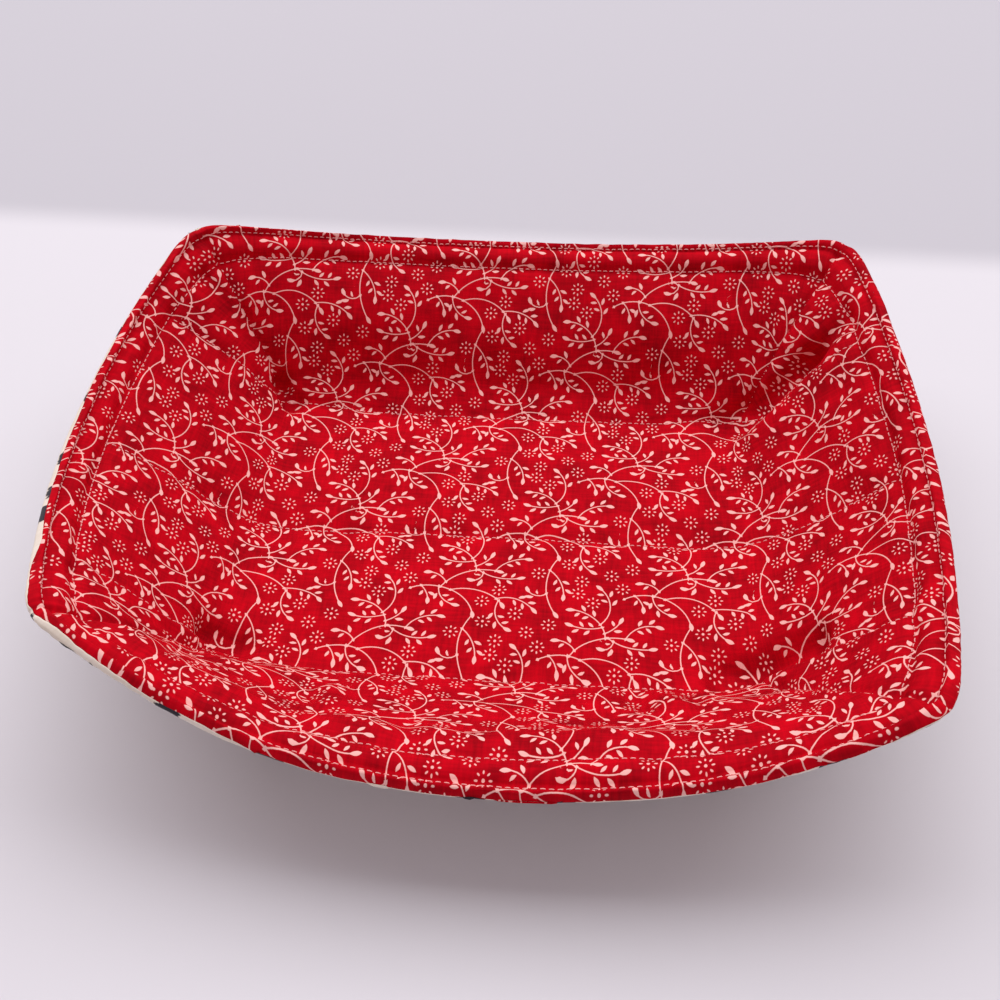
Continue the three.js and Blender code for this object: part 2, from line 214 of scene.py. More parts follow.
def ripple(along, away, seed):
    """Puckers square to a row of stitching, which die out away from it."""
    spot = Vector((along / RIPPLE_PITCH, away / (RIPPLE_LENGTH * RIPPLE_PITCH), seed))
    return RIPPLE * noise.noise(spot) * math.exp(-abs(away) / RIPPLE_FADE)


def face_height(u, v, seed):
    """How far a stitched face stands above or below the plain sewn shape, in millimetres."""
    wall, slant, gusset = wall_at(u, v)
    across = v if wall in ("left", "right") else u
    nearest = BORDER_SLANT - slant
    height = 0
    if wall not in ("front", "back") and slant < BORDER_SLANT:
        depth = ROW_DEPTH * (1 - (1 - ROW_ON_WALL) * min(1, slant / ROW_FADE)) * (1 - gusset)
        for row in QUILTING_ROWS.values():
            away = v - row
            nearest = min(nearest, abs(away))
            height -= depth * math.exp(-abs(away) / ROW_EASE)
            height += ripple(u, away, seed + row) * (1 - gusset)
        height += CHANNEL_CROWN * abs(math.sin(math.pi * v / HALF_BASE[1]))
    elif slant < BORDER_SLANT:
        nearest = min(nearest, slant)
        height -= ROW_DEPTH * math.exp(-slant / ROW_EASE) * (1 - gusset)
        height += ripple(u, slant, seed + QUILTING_ROWS.get(wall, 0)) * (1 - gusset)
        height += CHANNEL_CROWN * math.sin(math.pi * slant / BORDER_SLANT)
    if wall is not None:
        from_border = slant - BORDER_SLANT
        height -= BORDER_DEPTH * math.exp(-abs(from_border) / BORDER_EASE)
        height += ripple(across, from_border, seed + BORDER_SEED)
        from_dart = (1 - gusset) * slant * DART_SPAN
        if gusset > 0:
            below_rim = min(1, (WALL_WIDTH - slant) / DART_FADE)
            height -= DART_DEPTH * math.exp(-from_dart / DART_EASE) * below_rim
    height = max(-DEEPEST, height)
    if slant > BORDER_SLANT:
        from_edge = slant - EDGE_SLANT
        height -= EDGE_DEPTH * math.exp(-abs(from_edge) / EDGE_EASE)
        height += EDGE_RIPPLE * ripple(across, from_edge, seed + EDGE_SEED)
        turn = max(0, from_edge) / (WALL_WIDTH - EDGE_SLANT)
        across_strip = min(1, (slant - BORDER_SLANT) / (EDGE_SLANT - BORDER_SLANT))
        height -= RIM_SETBACK * across_strip
        height -= (HALF_SANDWICH - RIM_SETBACK) * (1 - math.sqrt(1 - min(1, turn) ** RIM_ROLL))
        height += STRIP_CROWN * math.sin(math.pi * across_strip)
    ease = 1 - math.exp(-max(0, nearest) / SOFT_FOLD_EASE)
    spot = Vector((u / SOFT_FOLD_PITCH, v / SOFT_FOLD_PITCH, seed))
    waves = noise.noise(spot) + FINE_FOLD * noise.noise(FINE_FOLD_SCALE * spot)
    height += SOFT_FOLD * ease * waves
    return height


# Folds that the darts pull into the padded cloth, and places where it stands proud: from and to on
# the grid, how high it rises there, and how far that reaches to each side
FOLDS = (
    ((91, 63), (130, 78), -8.0, 9),
    ((130, 78), (148, 87), -4.0, 8),
    ((104, 50), (146, 64), 2.8, 9),
    ((-90, 62), (-98, 74), -6.5, 5),
    ((-98, 74), (-146, 108), -2.5, 9),
    ((-72, 104), (-40, 104), 2.2, 15),
    ((-2, 100), (10, 100), 1.5, 16),
    ((52, 108), (80, 104), 2.2, 15),
    ((82, -58), (114, -53), -9.0, 7),
    ((98, -68), (150, -67), 2.5, 8),
    ((-97, -58), (-84, -57), -6.0, 6),
    ((-104, -68), (-150, -66), 1.5, 8),
    ((-108, -1), (-58, -1), -1.8, 8),
    ((44, 2), (72, 4), -1.2, 6),
    ((-62, -96), (-56, -118), -2.5, 13),
    ((20, -112), (40, -118), 2.0, 14),
    ((50, -72), (54, -86), -2.0, 3.5),
    ((58, -72), (62, -86), 1.6, 4),
    ((68, -70), (70, -84), -1.6, 3.5),
    ((-54, -86), (-50, -98), -1.8, 4),
    ((-46, -88), (-44, -100), 1.4, 4),
    ((-20, -108), (-16, -120), -1.5, 5),
)
FOLD_THROUGH, FOLD_SPREAD = 0.5, 1.6  # a sunk fold goes through the batting lower and wider


def fold_rise(u, v, through):
    """How far the folds lift or sink the lining's face, or what of that goes through the batting."""
    rise = 0
    for (start_u, start_v), (end_u, end_v), height, width in FOLDS:
        if through and height < 0:
            height *= FOLD_THROUGH
            width *= FOLD_SPREAD
        run_u, run_v = end_u - start_u, end_v - start_v
        share = ((u - start_u) * run_u + (v - start_v) * run_v) / (run_u ** 2 + run_v ** 2)
        share = max(0, min(1, share))
        off = math.hypot(u - start_u - share * run_u, v - start_v - share * run_v)
        rise += height * math.exp(-(off / width) ** 2)
    return rise


RIM_CROWDING = 1.6  # the grid is finer towards the rim
END_FOLD, END_SOFTNESS = 26, 16  # mm to each side of an end wall's fold, and how round it is
LONG_FOLD, LONG_SOFTNESS = 14, 7
TIP_SOFT = 11  # mm that the round of a fold runs on past the tip of a dart
CORNER_FOLD, CORNER_SOFTNESS = 12, 5
RIM_FIRM = 5  # mm below the rim that keep their corner
NEAR_ZERO = 1e-6


class SewnPanel:
    """The darted panel before it is quilted: a grid of cloth, sewn into a tray."""

    def __init__(self, base_steps, wall_steps, wall_width):
        self.lines = [
            [self.grid_line(step, axis, base_steps[axis], wall_steps, wall_width)
             for step in range(base_steps[axis] + 2 * wall_steps + 1)]
            for axis in (0, 1)
        ]
        steps = [len(lines) - 1 for lines in self.lines]
        self.mesh = bmesh.new()
        bmesh.ops.create_grid(self.mesh, x_segments=steps[0], y_segments=steps[1], size=1)
        self.grid = []
        self.vertex_at = {}
        seam = []
        end_fold = []
        long_fold = []
        corner_fold = []
        for vertex in self.mesh.verts:
            at = tuple(round((vertex.co[axis] + 1) / 2 * steps[axis]) for axis in (0, 1))
            u, v = (self.lines[axis][at[axis]] for axis in (0, 1))
            self.grid.append((u, v))
            self.vertex_at[at] = vertex.index
            vertex.co = sewn_place(u, v)
            past = (abs(u) - HALF_BASE[0], abs(v) - HALF_BASE[1])
            if min(past) > -NEAR_ZERO and abs(past[0] - past[1]) < NEAR_ZERO:
                seam.append(vertex)
            if past[1] < TIP_SOFT and abs(past[0]) < END_FOLD:
                end_fold.append(vertex)
            if past[0] < TIP_SOFT and abs(past[1]) < LONG_FOLD:
                long_fold.append(vertex)
            by_dart = min(past) > 0 and abs(past[0] - past[1]) < CORNER_FOLD
            if by_dart and max(past) < WALL_WIDTH - RIM_FIRM:
                corner_fold.append(vertex)
        bmesh.ops.connect_verts(self.mesh, verts=seam)
        step_size = BASE_LENGTH / base_steps[0]
        bends = ((end_fold, END_SOFTNESS), (long_fold, LONG_SOFTNESS), (corner_fold, CORNER_SOFTNESS))
        for bent, softness in bends:
            for _ in range(round((softness / step_size) ** 2)):
                bmesh.ops.smooth_vert(
                    self.mesh, verts=bent, factor=0.5, use_axis_x=True, use_axis_y=True, use_axis_z=True
                )
        self.mesh.normal_update()
        for vertex, (u, v) in zip(self.mesh.verts, self.grid):
            vertex.co += vertex.normal * fold_rise(u, v, True)
        self.mesh.normal_update()
        self.points = [vertex.co.copy() for vertex in self.mesh.verts]
        self.normals = [vertex.normal.copy() for vertex in self.mesh.verts]

    @staticmethod
    def grid_line(step, axis, base_steps, wall_steps, wall_width):
        """The place of a line of the grid, counted from one edge of the cloth."""
        in_base = step - wall_steps
        if 0 <= in_base <= base_steps:
            return (2 * in_base / base_steps - 1) * HALF_BASE[axis]
        steps_out = -in_base if in_base < 0 else in_base - base_steps
        slant = wall_width * (1 - (1 - steps_out / wall_steps) ** RIM_CROWDING)
        return math.copysign(HALF_BASE[axis] + slant, in_base)

    def face(self, height, lowest=0):
        """Places of a face that lies at some height over the sewn shape, in the part's frame."""
        places = []
        for point, normal, (u, v) in zip(self.points, self.normals, self.grid):
            place = point + normal * height(u, v) + BASE_MIDDLE
            place.z = max(lowest, place.z)
            places.append(place)
        return places

    def rolled(self, height, turned_height, turn, lowest=0):
        """Places of a face whose edge rolls over the rim: a turn of 1 is the middle of the roll."""
        places = self.face(height, lowest)
        for index, (u, v) in enumerate(self.grid):
            slant = wall_at(u, v)[1]
            if slant <= EDGE_SLANT:
                continue
            way = turn(u, v, (slant - EDGE_SLANT) / (WALL_WIDTH - EDGE_SLANT))
            moved = (EDGE_SLANT + (WALL_WIDTH - EDGE_SLANT) * math.sin(way * math.pi / 2)) / slant
            at = []
            for place, half in zip((u, v), HALF_BASE):
                past = max(0, abs(place) - half)
                at.append(math.copysign(min(abs(place), half) + past * moved, place))
            point = self.between(self.points, *at)
            normal = self.between(self.normals, *at).normalized()
            side_height = height if way <= 1 else turned_height
            places[index] = point + normal * side_height(*at) + BASE_MIDDLE
        return places

    def between(self, values, u, v):
        """A value at any place of the grid, from the values at the corners of its square."""
        at = []
        share = []
        for axis, place in ((0, u), (1, v)):
            lines = self.lines[axis]
            step = max(1, min(len(lines) - 1, bisect.bisect_left(lines, place)))
            at.append(step - 1)
            share.append((place - lines[step - 1]) / (lines[step] - lines[step - 1]))
        near, far = (
            values[self.vertex_at[at[0], at[1] + row]].lerp(
                values[self.vertex_at[at[0] + 1, at[1] + row]], share[0])
            for row in (0, 1)
        )
        return near.lerp(far, share[1])


def add_object(name, data):
    """Puts an object with its data into the scene."""
    added = bpy.data.objects.new(name, data)
    bpy.context.collection.objects.link(added)
    return added


def finished_piece(name, shaped, material, node):
    """Turns a bmesh in millimetres into a piece that stands for its node."""
    bmesh.ops.scale(shaped, vec=(MM, MM, MM), verts=shaped.verts)
    mesh = bpy.data.meshes.new(name)
    shaped.to_mesh(mesh)
    shaped.free()
    mesh.shade_smooth()
    mesh.materials.append(material)
    piece = add_object(name, mesh)
    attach(piece, "root")
    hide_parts(node)
    return piece


def cloth_piece(name, panel, places, turned, material, node):
    """A panel of cloth through the places of its face, with its thickness on the hidden side."""
    shaped = panel.mesh.copy()
    for vertex, place in zip(shaped.verts, places):
        vertex.co = place
    if turned:
        bmesh.ops.reverse_faces(shaped, faces=shaped.faces)
    piece = finished_piece(name, shaped, material, node)
    cloth = piece.modifiers.new("cloth", "SOLIDIFY")
    cloth.thickness = CLOTH_THICKNESS * MM
    cloth.offset = -1
    return piece


CLOTH_THICKNESS = 0.6
BASE_STEPS, WALL_STEPS = (112, 80), 48  # squares of the grid
LINING_SEED, COVER_SEED, SEAM_SEED = 3.1, 8.6, 5.5
SEAM_TURN, SEAM_LEAN = 1.12, (0.27, 0.17)  # how far the seam has rolled under, and more to one side
SEAM_WANDER, SEAM_PITCH = 0.3, 26.0  # how much that changes along the rim, and how fast in mm
RIM_LIP = 2.2  # how far the seam folded up inside the rim lifts the lining
THINNEST = 2.6  # the sandwich where a fold squeezes it
LEAST_SQUEEZE = 0.05
LINING_LOWEST = 2.4  # the lining's face over the floor
ROLL_LENGTH = 1.4  # cloth on the roll up to its middle, as a multiple of what it has before it rolls
panel = SewnPanel(BASE_STEPS, WALL_STEPS, WALL_WIDTH)


def cover_height(u, v):
    """The cover's face, which hangs under the sewn shape by the thickness of the sandwich."""
    return -2 * HALF_SANDWICH - face_height(u, v, COVER_SEED)


def lining_height(u, v):
    """The lining's face. The folded seam inside the rim makes it stand up past the outer row."""
    slant = wall_at(u, v)[1]
    turn = max(0, slant - EDGE_SLANT) / (WALL_WIDTH - EDGE_SLANT)
    height = face_height(u, v, LINING_SEED) + RIM_LIP * math.sin(math.pi * min(1, turn))
    squeezed = fold_rise(u, v, False) - fold_rise(u, v, True)
    if abs(squeezed) > LEAST_SQUEEZE and slant < EDGE_SLANT:
        height = max(height + squeezed, cover_height(u, v) + THINNEST)
    return height


def seam_turn(u, v):
    """Where on the roll of the rim the seam of the lining and the cover lies."""
    out = [place / (half + WALL_WIDTH) for place, half in zip((u, v), HALF_BASE)]
    wander = SEAM_WANDER * noise.noise(Vector((u / SEAM_PITCH, v / SEAM_PITCH, SEAM_SEED)))
    return SEAM_TURN + SEAM_LEAN[0] * out[0] + SEAM_LEAN[1] * out[1] + wander


def lining_turn(u, v, share):
    return share * seam_turn(u, v)


lining_face = panel.rolled(lining_height, cover_height, lining_turn, LINING_LOWEST)

# The print is a trailing plant that repeats over the cloth with a drop. It is grown here: from one
# bough come more boughs, leafy branches and, in the gaps, dotted flowers.

REPEAT = (76.0, 28.0)  # across, and down to the next repeat
REPEAT_SHIFT = 29.0  # how far the next repeat down is moved across
STEM_REACH, LEAF_REACH, FLOWER_REACH = 0.75, 2.15, 2.7  # half widths that are kept clear
LEAF_ZONE = 10.5  # leaves stand no further than this from a branch's tip
LEAF_ROOM = 3.0  # bare length at the foot of a branch
LEAFY_FORKS, BARE_FORKS = (0.05, 0.5), (0.05, 1.0)  # where branches leave a stem, as shares of it
FORK_ANGLES, STEM_TURNS = (38, 88), (40, 120)  # degrees
FOOT_MARKS = 3  # marks at the foot of a branch, which are close to its stem
FIRST_BOUGH = (0.0, 0.0, 30, 30, -110, False)  # start, heading, length, turn in degrees, leafy
grower = random.Random(31)


def along_stem(stem, share):
    """The place and heading at a share of a stem's length."""
    u, v, heading, length, turn, _leafy = stem
    bend = math.radians(turn) / length
    ahead = math.sin(bend * share * length) / bend
    aside = (1 - math.cos(bend * share * length)) / bend
    facing = math.radians(heading)
    return (
        u + ahead * math.cos(facing) - aside * math.sin(facing),
        v + ahead * math.sin(facing) + aside * math.cos(facing),
        heading + turn * share,
    )


def print_gap(first, second):
    """The distance between two places of the print, with its repeats."""
    gaps = []
    drop = round((first[1] - second[1]) / REPEAT[1])
    for row in (drop - 1, drop, drop + 1):
        aside = first[0] - second[0] - row * REPEAT_SHIFT
        aside -= REPEAT[0] * round(aside / REPEAT[0])
        gaps.append(math.hypot(aside, first[1] - second[1] - row * REPEAT[1]))
    return min(gaps)


def stem_marks(stem):
    """Places along a stem, each with the half width of what is drawn there."""
    length = stem[3]
    leafy = stem[5]
    steps = int(length)
    marks = []
    for step in range(steps + 2):
        from_tip = length * (1 - step / steps)
        has_leaves = leafy and from_tip < min(length - LEAF_ROOM, LEAF_ZONE)
        marks.append((*along_stem(stem, step / steps)[:2], LEAF_REACH if has_leaves else STEM_REACH))
    return marks


stems = [FIRST_BOUGH]
flowers = []
taken = stem_marks(FIRST_BOUGH)[:-2]  # up to its tip


def grow_branches(number, shortest, longest, tries, leafy=True):
    """Adds a number of branches beside the stems, of lengths in millimetres, where there is room."""
    for _ in range(tries):
        if number == 0:
            return
        parent = grower.choice(stems)
        share = grower.uniform(*(LEAFY_FORKS if parent[5] else BARE_FORKS))
        u, v, heading = along_stem(parent, share)
        heading += grower.choice((-1, 1)) * grower.uniform(*FORK_ANGLES)
        length = grower.uniform(shortest, longest)
        turn = grower.choice((-1, 1)) * grower.uniform(*STEM_TURNS)
        branch = (u, v, heading, length, turn, leafy)
        marks = stem_marks(branch)
        free = marks[FOOT_MARKS:]
        if all(print_gap(mark, other) > mark[2] + other[2] for mark in free for other in taken):
            stems.append(branch)
            taken.extend(marks)
            number -= 1


def plant_flowers(number, tries):
    """Adds dotted flowers in the gaps."""
    for _ in range(tries):
        if number == 0:
            return
        place = (grower.uniform(0, REPEAT[0]), grower.uniform(-REPEAT[1] / 2, REPEAT[1] / 2))
        if all(print_gap(place, other) > FLOWER_REACH + other[2] for other in taken):
            flowers.append(place)
            taken.append((*place, FLOWER_REACH))
            number -= 1


grow_branches(3, 22, 30, 400, leafy=False)
grow_branches(4, 15, 19, 600)
grow_branches(5, 11, 15, 600)
plant_flowers(3, 200)
grow_branches(6, 8, 11, 800)
grow_branches(6, 6, 8, 800)
plant_flowers(8, 800)

# Each face of the cloth keeps the motifs that reach it, as the place of its corners along and
# across a stem or round a flower, so that the material only has to draw one stem and one flower.

MOTIF_LAYERS = 3
NO_MOTIF = (90.0, 90.0, 1.0)


def motif_place(u, v, motif):
    """A point in a motif's own measure: back from a stem's tip, across it, and the stem's length."""
    if len(motif) == 2:
        return u - motif[0], v - motif[1], 0.0
    start_u, start_v, heading, length, turn, leafy = motif
    facing = math.radians(heading)
    ahead = (u - start_u) * math.cos(facing) + (v - start_v) * math.sin(facing)
    aside = (v - start_v) * math.cos(facing) - (u - start_u) * math.sin(facing)
    radius = length / math.radians(turn)
    way = math.copysign(1, radius)
    swept = math.atan2(ahead, (radius - aside) * way)
    half_turn = abs(math.radians(turn)) / 2
    swept = (swept - half_turn + math.pi) % (2 * math.pi) - math.pi + half_turn
    across = radius - way * math.hypot(ahead, aside - radius)
    return length - swept * abs(radius), across, length if leafy else -length


motifs = []
motif_marks = []
rows_out = int((HALF_BASE[1] + WALL_WIDTH) / REPEAT[1]) + 2
columns_out = int((HALF_BASE[0] + WALL_WIDTH) / REPEAT[0]) + 2
for row in range(-rows_out, rows_out + 1):
    for column in range(-columns_out, columns_out + 1):
        shift_u = column * REPEAT[0] + (row * REPEAT_SHIFT) % REPEAT[0]
        shift_v = row * REPEAT[1]
        for stem in stems:
            moved = (stem[0] + shift_u, stem[1] + shift_v, *stem[2:])
            motif_marks += [(*mark, len(motifs)) for mark in stem_marks(moved)]
            motifs.append(moved)
        for flower in flowers:
            moved = (flower[0] + shift_u, flower[1] + shift_v)
            motif_marks.append((*moved, FLOWER_REACH, len(motifs)))
            motifs.append(moved)
mark_tree = kdtree.KDTree(len(motif_marks))
for index, mark in enumerate(motif_marks):
    mark_tree.insert((mark[0], mark[1], 0), index)
mark_tree.balance()


def linear(hex_colour):
    """An sRGB hex colour as linear RGBA."""
    parts = [int(hex_colour[start:start + 2], 16) / 255 for start in (1, 3, 5)]
    return tuple(p / 12.92 if p <= 0.04045 else ((p + 0.055) / 1.055) ** 2.4 for p in parts) + (1,)


def add_node(tree, kind, settings, *inputs):
    """Adds a node, sets it up and fills its inputs in order with links or values; None skips one."""
    node = tree.nodes.new(kind)
    for name, value in settings.items():
        setattr(node, name, value)
    for socket, value in zip(node.inputs, inputs):
        if isinstance(value, bpy.types.Node):
            tree.links.new(value.outputs[0], socket)
        elif isinstance(value, bpy.types.NodeSocket):
            tree.links.new(value, socket)
        elif value is not None:
            socket.default_value = value
    return node


def new_material(name, finish):
    """A material with its node tree and its shader, whose finish is a few plain values."""
    material = bpy.data.materials.new(name)
    material.use_nodes = True
    tree = material.node_tree
    shader = tree.nodes["Principled BSDF"]
    for socket, value in finish.items():
        shader.inputs[socket].default_value = value
    return material, tree, shader


# A motif is drawn step by step from a place back from a stem's tip, across it, and the stem's length.
# Each step says what it does, and the named steps, values or further steps that it does it with.

STEM_HALF = 0.19
KNOT_SLOPE, KNOT_HALF = 0.75, 0.6  # the small knot where a branch leaves its stem
BUD_LENGTH, BUD_WIDTH = 1.9, 0.7  # half sizes of the bud at a stem's tip
BUD_BACK, BUD_TAPER = 0.4, 0.35
LEAF_LENGTH, LEAF_WIDTH = 1.4, 0.56  # half sizes of a leaf
LEAF_PITCH, FIRST_LEAF, LEAF_STAGGER = 3.6, 4.4, 1.5  # along the stem
LEAF_ASIDE = 1.75
LEAF_ANGLE = math.radians(48)
PETALS, PETAL_RING = 8, 2.1
PETAL_LENGTH, PETAL_WIDTH, HEART = 0.5, 0.26, 0.46
HALF_PETAL = math.pi / PETALS
FAR_OFF = 9.0
MOTIF_STEPS = {
    "length": ("ABSOLUTE", "kind"),
    "aside": ("ABSOLUTE", "across"),
    "past_start": ("SUBTRACT", "back", "length"),
    "past_end": ("MAXIMUM", "past_start", ("SUBTRACT", 0.0, "back")),
    "stem": ("MAXIMUM", ("SUBTRACT", "aside", STEM_HALF), "past_end"),
    "knot": ("MULTIPLY_ADD", ("ABSOLUTE", "past_start"), KNOT_SLOPE, "aside"),
    "bare": ("MINIMUM", "stem", ("SUBTRACT", "knot", KNOT_HALF)),
    "bud_share": ("DIVIDE", ("SUBTRACT", "back", BUD_BACK), BUD_LENGTH),
    "bud_round": ("SUBTRACT", 1.0, ("MULTIPLY", "bud_share", "bud_share")),
    "bud_taper": ("MULTIPLY_ADD", "bud_share", -BUD_TAPER, 1.0),
    "bud_half": ("MULTIPLY", ("MULTIPLY", "bud_round", "bud_taper"), BUD_WIDTH),
    "bud": ("MAXIMUM", ("SUBTRACT", "aside", "bud_half"), ("SUBTRACT", 0.0, "bud_round")),
    "leaf_back": ("SUBTRACT", "back", FIRST_LEAF),
    "leaf_run": ("MULTIPLY_ADD", ("GREATER_THAN", "across", 0.0), LEAF_STAGGER, "leaf_back"),
    "leaf_near": ("ROUND", ("DIVIDE", "leaf_run", LEAF_PITCH)),
    "zone": ("MINIMUM", ("SUBTRACT", "length", LEAF_ROOM), LEAF_ZONE),
    "last_leaf": ("FLOOR", ("DIVIDE", ("SUBTRACT", "zone", FIRST_LEAF), LEAF_PITCH)),
    "leaf": ("MAXIMUM", ("MINIMUM", "leaf_near", "last_leaf"), 0.0),
    "leaf_off": ("MULTIPLY_ADD", "leaf", -LEAF_PITCH, "leaf_run"),
    "leaf_out": ("SUBTRACT", "aside", LEAF_ASIDE),
    "off_turned": ("MULTIPLY", "leaf_off", -math.cos(LEAF_ANGLE)),
    "leaf_long": ("MULTIPLY_ADD", "leaf_out", math.sin(LEAF_ANGLE), "off_turned"),
    "out_turned": ("MULTIPLY", "leaf_out", math.cos(LEAF_ANGLE)),
    "leaf_wide": ("MULTIPLY_ADD", "leaf_off", math.sin(LEAF_ANGLE), "out_turned"),
    "leaf_share": ("DIVIDE", "leaf_long", LEAF_LENGTH),
    "leaf_square": ("MULTIPLY", "leaf_share", "leaf_share"),
    "leaf_half": ("MULTIPLY_ADD", "leaf_square", -LEAF_WIDTH, LEAF_WIDTH),
    "leaf_edge": ("SUBTRACT", ("ABSOLUTE", "leaf_wide"), "leaf_half"),
    "not_leafy": ("MULTIPLY_ADD", ("GREATER_THAN", "kind", 0.5), -FAR_OFF, FAR_OFF),
    "foliage": ("ADD", "leaf_edge", "not_leafy"),
    "branch": ("MINIMUM", ("MINIMUM", "bare", "bud"), "foliage"),
    "radius": ("LENGTH", "back", "across"),
    "in_petal": ("WRAP", ("ARCTAN2", "across", "back"), HALF_PETAL, -HALF_PETAL),
    "petal_reach": ("MULTIPLY", "radius", ("COSINE", "in_petal")),
    "petal_along": ("DIVIDE", ("SUBTRACT", "petal_reach", PETAL_RING), PETAL_LENGTH),
    "petal_across": ("DIVIDE", ("MULTIPLY", "radius", ("SINE", "in_petal")), PETAL_WIDTH),
    "petal_size": ("LENGTH", "petal_along", "petal_across"),
    "petal": ("MULTIPLY_ADD", "petal_size", PETAL_WIDTH, -PETAL_WIDTH),
    "flower": ("MINIMUM", "petal", ("SUBTRACT", "radius", HEART)),
    "is_stem": ("GREATER_THAN", "length", 0.5),
}
MATH, VECTOR_MATH = "ShaderNodeMath", "ShaderNodeVectorMath"
NOISE, MAP_RANGE = "ShaderNodeTexNoise", "ShaderNodeMapRange"


def drawn_step(tree, made, step):
    """Adds the node of one step, after those of the steps inside it."""
    if not isinstance(step, tuple):
        return made.get(step, step)
    operation = {"operation": step[0]}
    values = [drawn_step(tree, made, value) for value in step[1:]]
    if step[0] == "LENGTH":
        spot = add_node(tree, "ShaderNodeCombineXYZ", {}, *values)
        return add_node(tree, VECTOR_MATH, operation, spot).outputs["Value"]
    return add_node(tree, MATH, operation, *values)


def motif_group():
    """A node group that gives the distance in millimetres to a motif's edge, less than 0 inside it."""
    tree = bpy.data.node_groups.new("calico_motif", "ShaderNodeTree")
    tree.interface.new_socket("Place", in_out="INPUT", socket_type="NodeSocketVector")
    tree.interface.new_socket("Distance", in_out="OUTPUT", socket_type="NodeSocketFloat")
    entry = tree.nodes.new("NodeGroupInput")
    parts = add_node(tree, "ShaderNodeSeparateXYZ", {}, entry)
    made = dict(zip(("back", "across", "kind"), parts.outputs))
    for name, step in MOTIF_STEPS.items():
        made[name] = drawn_step(tree, made, step)
    is_stem, flower, branch = (made[name] for name in ("is_stem", "flower", "branch"))
    either = add_node(tree, "ShaderNodeMix", {"data_type": "FLOAT"}, is_stem, None, flower, branch)
    leave = tree.nodes.new("NodeGroupOutput")
    tree.links.new(either.outputs[0], leave.inputs[0])
    return tree


# Printed quilting cotton: a fine plain weave, dyed red, with a pale pink print that lets a little of
# the red through. Matt, with thick yarns, and slow darker marks that are painted shade of puckers.

# The darker red serves both the thick yarns and the painted shade of soft puckers.
CALICO_RED, CALICO_SHADE = "#D00019", "#950010"
PRINT_PINK = "#FFC6C0"
INK_GRAIN, INK_RAGGED, INK_BLUR = 1.8, 0.16, 0.07  # per mm, and mm at the edge of the print
INK_COVER = 0.93
THREAD_PITCH = 1.1  # mm; real threads are a quarter as far apart, too fine to show
THREAD_HEIGHT, THREAD_BUMP = 0.04, 0.3
WAVE_PERIOD = math.pi / 10  # of a wave texture whose scale is 1
SLUB_LENGTH, SLUB_WIDTH = 9.0, 1.1  # mm, the thick places of its yarns
PAINTED_SHADE_MARK, PAINTED_SHADE_SHARE = 12.5, 1.8  # mm, the size of the slow marks of painted pucker shade, and how much they count against the yarns
TONE_RANGE = (1.4, 2.4)
CLOTH_MAP_SIZE = 350.0  # mm across the map of the flat cloth
ADD, MULTIPLY = {"operation": "ADD"}, {"operation": "MULTIPLY"}
MULTIPLY_ADD = {"operation": "MULTIPLY_ADD"}
SMOOTH = {"interpolation_type": "SMOOTHSTEP"}
MIX, OF_COLOURS = "ShaderNodeMix", {"data_type": "RGBA"}
TO_COLOURS = [None] * 5  # sockets of a mix node between its share and its two colours


def place_on_cloth(tree):
    """The place on the flat cloth, in millimetres."""
    flat_cloth = add_node(tree, "ShaderNodeUVMap", {"uv_map": "flat_cloth"})
    return add_node(tree, VECTOR_MATH, {"operation": "SCALE"}, flat_cloth, None, None, CLOTH_MAP_SIZE)


def yarn_tone_and_painted_shade(tree, flat_mm):
    """How much of its darker colour a plain weave shows: painted shade of puckers as slow marks, and
    thick yarns.
    """
    # Painted shade: slow darker marks that stand in for the shading of soft puckers.
    painted_shade = add_node(tree, NOISE, {}, flat_mm, None, 1 / PAINTED_SHADE_MARK, 3.0)
    tone = add_node(tree, MATH, MULTIPLY, painted_shade, PAINTED_SHADE_SHARE)
    for slub in ((SLUB_LENGTH, SLUB_WIDTH, 1), (SLUB_WIDTH, SLUB_LENGTH, 1)):
        yarn = add_node(tree, VECTOR_MATH, {"operation": "DIVIDE"}, flat_mm, slub)
        thick = add_node(tree, NOISE, {}, yarn, None, 1.0, 2.0)
        tone = add_node(tree, MATH, ADD, tone, thick)
    return add_node(tree, MAP_RANGE, {}, tone, *TONE_RANGE)


def raise_threads(tree, flat_mm, shader):
    """The bump of threads that cross each other."""
    scale = WAVE_PERIOD / THREAD_PITCH
    along, across = (
        add_node(tree, "ShaderNodeTexWave", {"bands_direction": direction}, flat_mm, scale)
        for direction in ("X", "Y")
    )
    weave = add_node(tree, MATH, MULTIPLY, along.outputs["Fac"], across.outputs["Fac"])
    bump = add_node(tree, "ShaderNodeBump", {}, THREAD_BUMP, THREAD_HEIGHT * MM)
    tree.links.new(weave.outputs[0], bump.inputs["Height"])
    tree.links.new(bump.outputs[0], shader.inputs["Normal"])


